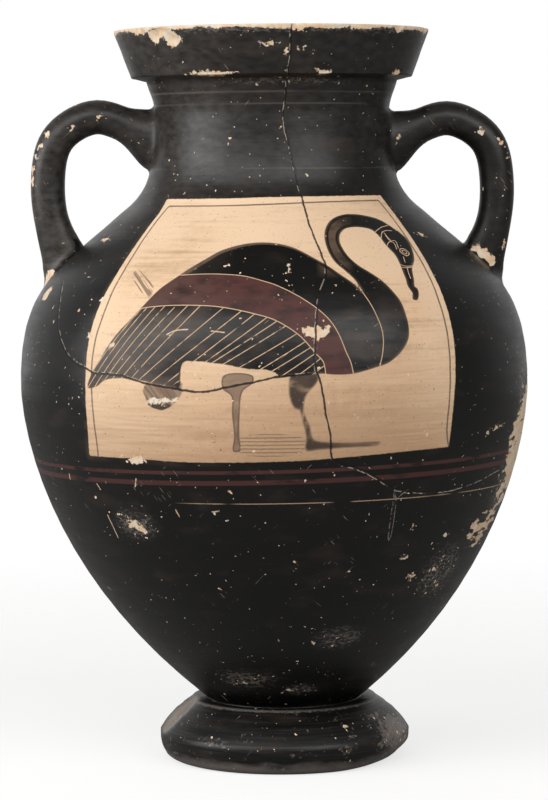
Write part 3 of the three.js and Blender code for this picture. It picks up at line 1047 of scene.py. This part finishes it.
def add_node(tree: bpy.types.NodeTree, kind: str, settings: dict | None = None,
             links: dict | None = None) -> bpy.types.Node:
    """Add a node to a material or world.

    Args:
        tree: The node tree.
        kind: The node's type name.
        settings: Its own settings by name.
        links: Its inputs by name or index: a node, a socket, a mask or a plain value.

    Returns:
        The new node.
    """
    node = tree.nodes.new(kind)
    for name, value in (settings or {}).items():
        setattr(node, name, value)
    for name, value in (links or {}).items():
        socket = node.inputs[name]
        source = getattr(value, "socket", value)
        if isinstance(source, bpy.types.Node):
            source = next(out for out in source.outputs if out.enabled)
        if isinstance(source, bpy.types.NodeSocket):
            tree.links.new(source, socket)
        else:
            socket.default_value = source
    return node


class Mask:
    """A value that varies over the surface and can be combined with others."""

    def __init__(self, tree: bpy.types.NodeTree, source: bpy.types.Node | bpy.types.NodeSocket
                 ) -> None:
        """Keep the socket that gives the value."""
        self.tree = tree
        if isinstance(source, bpy.types.Node):
            source = next(out for out in source.outputs if out.enabled)
        self.socket = source

    def _join(self, operation: str, *others: "Mask | float") -> "Mask":
        """Combine this value with others by a named operation."""
        links = dict(enumerate((self, *others)))
        return Mask(self.tree, add_node(self.tree, "ShaderNodeMath", {"operation": operation},
                                        links))

    def __mul__(self, other: "Mask | float") -> "Mask":
        """Multiply, so that both must cover."""
        return self._join("MULTIPLY", other)

    def __add__(self, other: "Mask | float") -> "Mask":
        """Add a value."""
        return self._join("ADD", other)

    def __sub__(self, other: "Mask | float") -> "Mask":
        """Take a value away."""
        return self._join("SUBTRACT", other)

    def __truediv__(self, other: "Mask | float") -> "Mask":
        """Divide by a value."""
        return self._join("DIVIDE", other)

    def __or__(self, other: "Mask | float") -> "Mask":
        """Take the larger value, so that either covers."""
        return self._join("MAXIMUM", other)

    def __invert__(self) -> "Mask":
        """Take the value from 1, so that the cover is turned round."""
        return Mask(self.tree, add_node(self.tree, "ShaderNodeMath", {"operation": "SUBTRACT"},
                                        {0: 1.0, 1: self}))

    def size(self) -> "Mask":
        """Drop the sign."""
        return self._join("ABSOLUTE")

    def sway(self, reach: float) -> "Mask":
        """Turn an uneven pattern round 0.5 to one round 0, of a given reach."""
        return (self - 0.5) * reach

    def near(self, middle: float, outer: float, inner: float) -> "Mask":
        """Cover a line at a value, from nothing at one distance to all at a smaller one."""
        return (self - middle).size().step(outer, inner)

    def offcut(self) -> "Mask":
        """Give the distance to the nearest whole number."""
        return (self._join("FRACT") - 0.5).size()._join("SUBTRACT", 0.5).size()

    def step(self, low: float, high: float) -> "Mask":
        """Rise from 0 to 1 between two values, held outside them."""
        return Mask(self.tree, add_node(self.tree, "ShaderNodeMapRange", None,
                                        {0: self, 1: low, 2: high, 3: 0.0, 4: 1.0}))


@dataclass(frozen=True)
class FiredClay:
    """Iron-bearing clay fired orange-buff, burnished on the wheel: a soft dull surface."""

    base: str = "#d9b693"
    # pale is used only as painted light on the panel; deep is also laid there as painted shade
    pale: str = "#ecd2b3"
    deep: str = "#a27f60"
    bare: str = "#d8c9b3"
    roughness: float = 0.68


@dataclass(frozen=True)
class BlackGloss:
    """Sintered clay slip fired black: thin, dense, with a soft satin gleam."""

    full: str = "#0b0a09"
    thin: str = "#2b221c"
    faded: str = "#54463c"
    brown: str = "#6b5748"
    roughness: float = 0.38


@dataclass(frozen=True)
class AddedRed:
    """Purple-red ochre laid over the gloss: dull and slightly streaky."""

    full: str = "#4d2c28"
    worn: str = "#2c1c19"


@dataclass(frozen=True)
class GrimeWearAndPaintedSheen:
    """Dirt and old glue in a closed break: dark on clay, greyish on the gloss. The grey also lays
    haze, wear and scuffs on the gloss, and the painted sheen and painted highlight there.
    """

    dark: str = "#120e0c"
    light: str = "#78706a"


# A colour: what a node gives, or a hex value
Paint = bpy.types.NodeSocket | str


class PaintedWare:
    """The one material of the jar, layered as it was painted, scratched, broken and worn."""

    clay, gloss, red, join = FiredClay(), BlackGloss(), AddedRed(), GrimeWearAndPaintedSheen()

    def __init__(self) -> None:
        """Make the material's tree, its coordinates and the patterns that layers share."""
        self.material = bpy.data.materials.new("black_gloss_on_fired_clay")
        self.material.use_nodes = True
        self.tree = self.material.node_tree
        self.tree.nodes.clear()
        self.place = add_node(self.tree, "ShaderNodeTexCoord").outputs["Object"]
        axes = add_node(self.tree, "ShaderNodeSeparateXYZ", None, {0: self.place})
        self.x, self.y, self.z = (Mask(self.tree, axis) * 1000.0 for axis in axes.outputs)
        self.large, self.small = self.mottle(70.0, detail=2.0), self.mottle(4.0, detail=2.0)
        self.streak = self.mottle(1.4, (26, 26, 1), detail=2.0)
        self.broad_streak = self.mottle(5.0, (14, 14, 1), detail=2.0)
        self.rub = self.mottle(2.2, detail=3.0)
        self.patchy = self.mottle(6.0, (2.5, 2.5, 1), detail=4.0, shift=3.1)
        self.thin_spot = self.mottle(11.0, (2.2, 2.2, 1), detail=3.0, shift=11.0)
        self.wobble = self.rub.sway(0.7)
        self.panel = (self.field("panel") + self.wobble).step(-0.25, 0.25)
        self.wear = self.field("wear")

    def field(self, name: str) -> Mask:
        """Read a field that the mesh carries."""
        node = add_node(self.tree, "ShaderNodeAttribute", {"attribute_name": name})
        return Mask(self.tree, node.outputs["Fac"])

    def mottle(self, size: float, stretch: tuple[float, float, float] = (1, 1, 1),
               turn: tuple[float, float, float] = (0, 0, 0), detail: float = 3.0,
               shift: float = 0.0) -> Mask:
        """Make an uneven pattern of a real size.

        Args:
            size: Size of its features in millimetres.
            stretch: How many times longer the features are along each axis.
            turn: Rotation of the pattern, in degrees.
            detail: How much finer structure it carries.
            shift: Moves the pattern, so that two of one size differ.

        Returns:
            A value from 0 to 1, mostly near 0.5.
        """
        scale = tuple(1000.0 / size / part for part in stretch)
        turned_by = tuple(math.radians(angle) for angle in turn)
        spun = add_node(self.tree, "ShaderNodeMapping", None,
                        {"Vector": self.place, "Rotation": turned_by})
        laid = add_node(self.tree, "ShaderNodeMapping", None,
                        {"Vector": spun, "Scale": scale, "Location": (shift, shift, shift)})
        grain = add_node(self.tree, "ShaderNodeTexNoise", None,
                         {"Vector": laid, "Scale": 1.0, "Detail": detail})
        return Mask(self.tree, grain.outputs[0])

    def coats(self, under: Paint, *layers: tuple[Paint, Mask]) -> bpy.types.NodeSocket:
        """Lay colours over another in turn, each where its mask covers.

        Args:
            under: The colour below, as a socket or a hex value.
            layers: Each colour on top, with how much of it shows.

        Returns:
            The mixed colour.
        """
        for layer, cover in layers:
            low, high = (linear(paint) if isinstance(paint, str) else paint
                         for paint in (under, layer))
            under = add_node(self.tree, "ShaderNodeMix", {"data_type": "RGBA"},
                             {0: cover, 6: low, 7: high}).outputs[2]
        return under

    def build(self) -> bpy.types.Material:
        """Lay clay, gloss, red, incisions, wear and mends over each other.

        Returns:
            The finished material.
        """
        clay, gloss, join = self.clay, self.gloss, self.join
        figure = self.lines()
        tone = self.streak * 0.55 + self.broad_streak * 0.5 + self.large * 0.7 + self.small * 0.25
        body = self.stained(self.ground(tone))

        kept = ~((self.field("paint_lost") + self.wobble * 1.5).step(-0.3, 0.3))
        covered = (~self.panel) | (figure["bird"] * kept)
        black = self.gloss_coat(figure)
        groove, rings = self.turned_lines()
        cut = figure["cut"] * kept
        flaked, losses = self.losses()
        bare = self.coats(clay.base, (clay.bare, self.small.step(0.4, 0.6)))
        body = self.coats(body, (black, covered), (join.light, rings),
                          (clay.base, (cut | groove * 0.6) * 0.86), (bare, losses))

        mend, chipped, loop = self.mends()
        on_gloss = covered * (~losses)
        body = self.greyed(body, on_gloss)
        inner = self.field("inner")
        throat = (self.z + self.patchy.sway(14.0)).step(352.0, 356.0) * inner
        inside = self.coats(clay.deep, (clay.base, tone.step(0.5, 1.0)), (black, throat))
        under = self.z.step(0.6, 0.2) | self.z.step(27.0, 26.5) * self.hollow()
        body = self.coats(body, (clay.bare, chipped * on_gloss * 0.5), (join.dark, mend * 0.92),
                          (join.light, loop * 0.8), (inside, inner), (clay.deep, under))

        shiny = on_gloss * (~cut) * (~inner | throat) * (~under)
        dull = ~shiny | figure["red"] * 0.6
        rough = dull * (clay.roughness - gloss.roughness) + gloss.roughness
        rough = rough + self.thin_spot.sway(0.22) + self.streak.sway(0.10)
        relief = self.streak.sway(0.05) + self.small.sway(0.03) - cut * 0.16
        relief = relief - flaked * 0.18 - mend * 0.3
        bump = add_node(self.tree, "ShaderNodeBump", None,
                        {"Strength": 1.0, "Distance": MM, "Height": relief})
        shader = add_node(self.tree, "ShaderNodeBsdfPrincipled", None,
                          {"Base Color": body, "Roughness": rough, "Normal": bump,
                           "IOR": 1.5, "Specular IOR Level": 0.3, "Metallic": 0.0})
        add_node(self.tree, "ShaderNodeOutputMaterial", None, {"Surface": shader})
        return self.material

    def lines(self) -> dict[str, Mask]:
        """Draw the incised lines of the figure: pale clay seen through the gloss.

        Returns:
            Masks for the incisions and for the figure's parts.
        """
        bird = self.field("bird")
        inside = bird.step(-0.15, 0.35)
        wander = self.mottle(9.0, detail=1.0).sway(0.7)
        band = self.field("band")
        front = self.y.step(5.0, -5.0)
        cuts = (band + wander * 0.3).size().step(0.36, 0.14)
        plume = self.field("plume").offcut() * self.field("plume_gap")
        feathers = self.field("feathers").step(-0.1, 0.3)
        skips = self.mottle(5.0, detail=2.0, shift=7.3).step(0.30, 0.42)
        plume_cuts = plume.step(0.34, 0.10) * feathers * front * skips
        breast = self.field("breast_cut").size().step(0.34, 0.14)
        away = add_node(self.tree, "ShaderNodeVectorMath", {"operation": "DISTANCE"},
                        {0: self.place, 1: self.eye()})
        eye = Mask(self.tree, away.outputs["Value"]) * 1000.0
        ring = eye.near(2.7, 0.42, 0.15) | eye.near(1.4, 0.36, 0.14)
        face = self.field("face_cuts").step(0.36, 0.14) * eye.step(2.6, 2.7)
        cut = (cuts | plume_cuts | (breast * front) | ring | face) * inside
        return {"bird": inside, "depth": bird, "cut": cut,
                "red": band.step(0.1, 0.4) * inside, "feathers": feathers * inside}

    def eye(self) -> tuple[float, float, float]:
        """Give the place of the bird's eye on the jar."""
        x, z = Picture.eye
        radius = float(JarForm().radius_at(np.array([z]))[0])
        return x * MM, -math.sqrt(radius**2 - x**2) * MM, z * MM

    def ground(self, tone: Mask) -> bpy.types.NodeSocket:
        """Give the burnished clay of the reserved panel, with painted light and shade: paler
        towards its top, its left and its right edge, darker towards its bottom and right.
        """
        # Painted light and shade: the first sum pales the panel towards its top, its left and its
        # right edge, the second darkens it towards its bottom and right
        light = (self.z - 243.0) * 0.0032 - self.x * 0.0016 + self.large.sway(1.4)
        light = light + self.x.step(68.0, 92.0) * 0.35 - 0.05
        painted_shade = (self.z * -1.0 + 232.0) * 0.012 + (self.x + 90.0).step(0.0, 80.0) * 0.35 - 0.1
        painted_shade = painted_shade - self.x.step(60.0, 90.0) * 0.25 + self.streak.sway(0.8) + self.large.sway(0.6)
        speck = self.mottle(0.9, detail=1.0)
        return self.coats(self.clay.deep, (self.clay.base, tone.step(0.62, 0.98)),
                          (self.clay.pale, light.step(-0.25, 0.8)),
                          (self.clay.deep, painted_shade.step(0.1, 0.8) * 0.72),
                          (self.gloss.thin, speck.step(0.70, 0.76) * 0.7))

    def stained(self, body: Paint) -> bpy.types.NodeSocket:
        """Draw what is thin brown on the panel: frame line, legs, foot strokes and smears.

        Args:
            body: The clay of the panel.

        Returns:
            The clay with everything that was drawn or rubbed off on it.
        """
        gloss, rub, patchy = self.gloss, self.rub, self.patchy
        line = self.field("frame_line").size().step(0.72, 0.34)
        front, rear = self.field("front_leg"), self.field("rear_leg")
        legs = front.step(-0.3, 0.6) * (patchy.step(0.3, 0.62) * 0.4 + 0.6)
        edge = rear.near(0.4, 0.55, 0.2) * 0.35
        legs = legs | rear.step(-0.2, 0.25) * (patchy.step(0.3, 0.6) * 0.22 + 0.6 + edge)
        strokes = ((self.z + rub.sway(0.8)) / 1.9).offcut() * 1.9
        strokes = strokes.step(0.5, 0.2) * self.field("foot_strokes").step(-0.3, 0.3)
        tip = self.field("wing_tip") + patchy.sway(4.0)
        slant = self.mottle(1.1, (1, 40, 16), turn=(0, 38, 0), detail=1.0, shift=2.5)
        smear = (self.field("smear") + patchy.sway(5.0)).step(-0.2, 0.8)
        stain = strokes * 0.62 | tip.step(-0.4, 0.5) * (slant.step(0.4, 0.6) * 0.25 + 0.72)
        stain = stain | smear * slant.step(0.5, 0.57) * 0.8
        heel = tip.step(-0.3, 0.2) * (self.z + rub.sway(3.0)).step(205.4, 204.6)
        peeled = tip.step(-0.6, 0.4) * ((self.z - 206.6).size() - rub.sway(9.0)).step(1.6, 0.6)
        core = front.step(0.3, 1.3) * patchy.step(0.32, 0.46)
        drawn = ((gloss.brown, line * (self.streak.step(0.3, 0.6) * 0.2 + 0.78)),
                 (gloss.brown, legs | stain), (gloss.thin, heel * 0.85),
                 (self.clay.bare, peeled * patchy.step(0.4, 0.5)), (gloss.thin, core * 0.8))
        return self.coats(body, *((colour, cover * self.panel) for colour, cover in drawn))

    def gloss_coat(self, figure: dict[str, Mask]) -> bpy.types.NodeSocket:
        """Give the black gloss with its thin places, the red band and the stripes.

        Args:
            figure: Masks of the figure's parts.

        Returns:
            The colour of everything that the gloss covers.
        """
        gloss, red, patchy, depth = self.gloss, self.red, self.patchy, figure["depth"]
        fading = self.x.step(-20, -90) * 0.22 + patchy.step(0.45, 0.75) * 0.3
        stroke = (depth.step(1.8, 2.6) * self.z.step(268, 276) * self.x.step(42, 35)
                  * self.x.step(22, 27))
        brush = (depth + self.x * 0.03).step(2.0, 1.0) * self.z.step(263, 269)
        thin = (depth.step(1.7, 0.3) * 0.5 | stroke * 0.75 | brush * 0.85) * figure["bird"]
        ochre = self.coats(red.worn, (red.full, patchy.step(0.3, 0.52)))
        level = self.z - self.x * 0.0185
        stripes = level.near(170.3, 1.15, 0.75) | level.near(164.8, 1.5, 1.0)
        breast = self.x.step(28, 42) * self.z.step(262, 250) * figure["bird"]
        halo = self.field("panel").step(-3.4, -0.8) * self.x.step(-20, -50)
        return self.coats(gloss.full, (gloss.thin, self.thin_spot.step(0.55, 0.75) * 0.55),
                          (gloss.faded, figure["feathers"] * fading),
                          (gloss.brown, thin * patchy.step(0.25, 0.5)), (ochre, figure["red"]),
                          (red.full, stripes * patchy.step(0.3, 0.45) * 0.75),
                          (gloss.faded, breast * patchy.step(0.42, 0.62) * 0.3),
                          (gloss.faded, halo * patchy.step(0.35, 0.6) * 0.4))

    def turned_lines(self) -> tuple[Mask, Mask]:
        """Draw the line cut under the panel as the jar turned, and those round its neck."""
        groove = (self.z - 153.5 - self.x * 0.006).size().step(0.34, 0.12)
        groove = groove * self.mottle(30.0, detail=2.0).step(0.42, 0.5) * self.x.step(-52, -38)
        rings = (self.z.near(365.3, 0.8, 0.2) * 0.34 | self.z.near(324.8, 0.7, 0.2) * 0.28
                 | self.z.near(359.1, 0.7, 0.2) * 0.22)
        return groove, rings * self.broad_streak.step(0.42, 0.6) * self.x.size().step(74, 70)

    def greyed(self, body: Paint, on_gloss: Mask) -> bpy.types.NodeSocket:
        """Grey the gloss: haze on lip, neck and handles with painted sheen towards the left, the
        worn foot with a painted highlight on its ledge, the scuffed belly.

        Args:
            body: The jar's colour so far.
            on_gloss: Where the gloss is whole.

        Returns:
            The colour with its wear.
        """
        rub, patchy, wear = self.rub, self.patchy, self.wear
        zone = self.z.step(285, 330) * 0.85 | self.field("handle").step(0.1, 0.5) | wear * 0.6
        haze_and_painted_sheen = self.mottle(3.2, (1.8, 1.8, 1), detail=4.0, shift=17.0).step(0.18, 0.86) * zone
        haze_and_painted_sheen = haze_and_painted_sheen * (self.large.step(0.35, 0.6) * 0.6 + 0.4)
        # Painted sheen: the haze is laid more thickly towards the left, where the light falls
        haze_and_painted_sheen = haze_and_painted_sheen * (self.x.step(50, -60) * 0.26 + 0.14)
        ringed = self.mottle(1.1, (40, 40, 1), detail=3.0, shift=5.5)
        foot = self.z.step(35.0, 34.0) * (~(self.z.step(0.6, 0.2) | self.hollow()))
        low = (self.z + patchy.sway(9.0)).step(7.5, 3.0) * 0.95
        # Painted highlight: a pale line round the ledge at the top of the foot, where the body's
        # shade falls
        painted_ledge_highlight = ((self.z - 33.2).size() + rub.sway(2.0)).step(1.5, 0.7)
        side = (wear * 1.3 + patchy.sway(3.4) + rub.sway(2.4)).step(0.45, 1.0)
        foot_wear_and_painted_highlight = (ringed.step(0.5, 0.75) * 0.16 | low | painted_ledge_highlight * 0.8 | side * 0.95) * foot
        scuff = self.mottle(1.2, (2, 2, 1), detail=3.0, shift=13.0) + wear * 0.12
        scuff = scuff.step(0.56, 0.72) * wear
        return self.coats(body, *((self.join.light, cover) for cover in (
            haze_and_painted_sheen * on_gloss, foot_wear_and_painted_highlight * on_gloss * 0.66, scuff * on_gloss * 0.55)))

    def hollow(self) -> Mask:
        """Cover the hollow under the foot."""
        reach = (self.x - 4.2) * (self.x - 4.2) + self.y * self.y
        return reach.step(51.5**2, 50.5**2)

    def losses(self) -> tuple[Mask, Mask]:
        """Cover the places where the gloss has flaked or worn away.

        Returns:
            The mask of the flaked places, and that of all bare clay.
        """
        rub, patchy, wear = self.rub, self.patchy, self.wear
        flaked = (self.field("loss") + (rub.sway(5.0) + patchy.sway(4.0))).step(-0.1, 0.4)
        pitted = (self.mottle(1.9, detail=1.0, shift=5.0) + wear * 0.06).step(0.762, 0.785)
        grit = (self.mottle(4.2, detail=2.0, shift=9.0) + wear * 0.09).step(0.745, 0.765)
        worn = self.mottle(7.0, detail=3.0, shift=2.0) + self.field("handle") * 0.03 + wear * 0.06
        top = (self.z + rub.sway(3.0) + patchy.sway(5.0)).step(397.9, 398.4)
        broken = (self.field("broken") + rub.sway(0.4)).step(0.18, 0.30)
        scored = (self.field("scores") + rub.sway(0.5)).step(0.42, 0.2) * 0.8
        area = self.field("scraped")
        drag = self.mottle(3.2, (3, 3, 1), detail=4.0, shift=8.0)
        scraped = (drag.sway(3.4) + patchy.sway(1.8) + area * 1.25).step(0.58, 0.78)
        bare = (pitted * 0.8 | grit | self.scratches() | worn.step(0.735, 0.765) | top | scored
                | broken * 0.2 | scraped * area.step(0.02, 0.2))
        return flaked, flaked | bare

    def scratches(self) -> Mask:
        """Draw fine scratches in two directions over the gloss."""
        # Wider than real hairlines, which a texture wouldn't hold
        found = None
        for angle, shift in ((35, 1.0), (-50, 4.0)):
            fine = self.mottle(0.5, (1, 9, 16), turn=(0, angle, 15), detail=0.0, shift=shift)
            patch = self.mottle(21.0, detail=1.0, shift=shift + 20).step(0.60, 0.68)
            mark = (fine + self.wear * 0.03).step(0.785, 0.83) * patch * 0.32
            found = mark if found is None else found | mark
        return found

    def mends(self) -> tuple[Mask, Mask, Mask]:
        """Draw the closed breaks.

        Returns:
            The mask of the breaks, of the chipped paint along them and of the pale loop.
        """
        jagged = self.mottle(5.0, detail=2.0, shift=6.0).sway(1.1)
        thick = self.rub.sway(0.8) + 0.5
        breaks = chipped = None
        for name in ("long_break", "tail_break"):
            gate = self.field(name + "_gate")
            side = self.field(name) + jagged
            line = (side.size() - thick).step(0.12, -0.12) * gate
            fringe = ((side + 0.55).size() - thick * 0.7).step(0.15, -0.1) * gate
            breaks = line if breaks is None else breaks | line
            chipped = fringe if chipped is None else chipped | fringe
        patches = self.mottle(3.5, detail=3.0, shift=16.0).step(0.47, 0.55)
        loop = (self.field("loop") + jagged * 0.3).size().step(0.34, 0.1)
        return breaks, chipped * patches, loop * self.rub.step(0.4, 0.5)


class Studio:
    """A pale floor, soft lights and the camera at the photograph's place."""

    floor_colour = "#a3a2a0"
    camera_place = (-0.15, -1729.4, 325.2)
    camera_target = (-0.15, 0.0, 197.3)
    lens = 141.4
    roll = -0.5

    def build(self) -> None:
        """Make floor, lights, surroundings and camera."""
        self.floor()
        self.surroundings()
        self.light("left_window", -72.0, 15.0, (1.6, 1.2), 5.2)
        self.light("inner_window", -38.0, 29.0, (1.5, 0.9), 3.9)
        self.light("front_window", 0.0, 33.0, (1.5, 0.8), 3.2)
        self.light("right_window", 39.0, 26.0, (1.5, 1.0), 4.4)
        self.camera()
        bpy.context.scene.view_settings.view_transform = "Standard"

    def floor(self) -> None:
        """Lay a pale paper floor that fades into the white surroundings."""
        bm = bmesh.new()
        bmesh.ops.create_circle(bm, cap_ends=True, radius=3.0, segments=96)
        floor = as_object(bm, "paper_floor")
        paper = bpy.data.materials.new("matt_white_paper")
        paper.use_nodes = True
        tree = paper.node_tree
        tree.nodes.clear()
        place = add_node(tree, "ShaderNodeTexCoord").outputs["Object"]
        away = add_node(tree, "ShaderNodeVectorMath", {"operation": "LENGTH"}, {0: place})
        seen = add_node(tree, "ShaderNodeLightPath").outputs["Is Camera Ray"]
        fade = Mask(tree, away.outputs["Value"]).step(0.3, 0.9) * Mask(tree, seen)
        matt = add_node(tree, "ShaderNodeBsdfDiffuse", None, {"Color": linear(self.floor_colour)})
        glow = add_node(tree, "ShaderNodeEmission", None,
                        {"Color": (1.0, 1.0, 1.0, 1.0), "Strength": Mask(tree, seen) * 0.68})
        matt = add_node(tree, "ShaderNodeAddShader", None, {0: matt, 1: glow})
        clear = add_node(tree, "ShaderNodeBsdfTransparent")
        mixed = add_node(tree, "ShaderNodeMixShader", None, {0: fade, 1: matt, 2: clear})
        add_node(tree, "ShaderNodeOutputMaterial", None, {"Surface": mixed})
        floor.data.materials.append(paper)

    def surroundings(self) -> None:
        """Surround the jar with soft light, dim in front and bright as the paper behind it."""
        world = bpy.data.worlds.new("white_surround")
        bpy.context.scene.world = world
        world.use_nodes = True
        tree = world.node_tree
        tree.nodes.clear()
        seen = add_node(tree, "ShaderNodeLightPath").outputs["Is Camera Ray"]
        way = add_node(tree, "ShaderNodeTexCoord").outputs["Generated"]
        axes = add_node(tree, "ShaderNodeSeparateXYZ", None, {0: way})
        side = Mask(tree, axes.outputs[0]).step(0.3, -0.3) * 0.3 + 0.45
        behind = Mask(tree, axes.outputs[1]).step(0.25, 0.95) * side + 0.2
        soft = add_node(tree, "ShaderNodeBackground", None,
                        {"Color": (1.0, 1.0, 1.0, 1.0), "Strength": behind})
        white = add_node(tree, "ShaderNodeBackground", None,
                         {"Color": (1.0, 1.0, 1.0, 1.0), "Strength": 1.0})
        both = add_node(tree, "ShaderNodeMixShader", None, {0: seen, 1: soft, 2: white})
        add_node(tree, "ShaderNodeOutputWorld", None, {"Surface": both})

    def light(self, name: str, azimuth: float, elevation: float,
              size: tuple[float, float], radiance: float) -> None:
        """Hang a soft oblong light 2.3 m from the jar, pointing at it.

        Args:
            name: The light's name.
            azimuth: Where it hangs, in degrees from the front towards the right.
            elevation: Its height above the level, in degrees.
            size: Its width and height, in metres.
            radiance: How bright its face is.
        """
        lamp = bpy.data.lights.new(name, "AREA")
        lamp.shape = "RECTANGLE"
        lamp.size, lamp.size_y = size
        lamp.energy = radiance * math.pi * size[0] * size[1]
        holder = bpy.data.objects.new(name, lamp)
        bpy.context.collection.objects.link(holder)
        turn, rise = math.radians(azimuth), math.radians(elevation)
        away = Vector((math.sin(turn) * math.cos(rise), -math.cos(turn) * math.cos(rise),
                       math.sin(rise)))
        holder.location = Vector((0, 0, 0.2)) + away * 2.3
        holder.rotation_euler = (-away).to_track_quat("-Z", "Y").to_euler()

    def camera(self) -> None:
        """Set the camera where the photograph was taken from."""
        data = bpy.data.cameras.new("camera")
        data.lens, data.sensor_width = self.lens, 36.0
        data.clip_start, data.clip_end = 0.05, 50.0
        camera = bpy.data.objects.new("camera", data)
        bpy.context.collection.objects.link(camera)
        camera.location = Vector(self.camera_place) * MM
        aim = (Vector(self.camera_target) - Vector(self.camera_place)).to_track_quat("-Z", "Y")
        turn = aim.to_matrix().to_4x4() @ Matrix.Rotation(math.radians(self.roll), 4, "Z")
        camera.rotation_euler = turn.to_euler()
        bpy.context.scene.camera = camera


def main() -> None:
    """Build the stage and the jar, and report each piece."""
    logging.basicConfig(level=logging.INFO, format="%(name)s: %(message)s")
    Studio().build()
    LOG.info("stage ready")
    amphora = Amphora()
    jar = amphora.build()
    jar.data.materials.clear()
    jar.data.materials.append(PaintedWare().build())
    jar.data.polygons.foreach_set("material_index", [0] * len(jar.data.polygons))
    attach(jar, "root")
    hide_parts("amphora")
    triangles = sum(len(face.vertices) - 2 for face in jar.data.polygons)
    LOG.info("jar: %d vertices, %d triangles", len(jar.data.vertices), triangles)


if __name__ == "__main__":
    main()
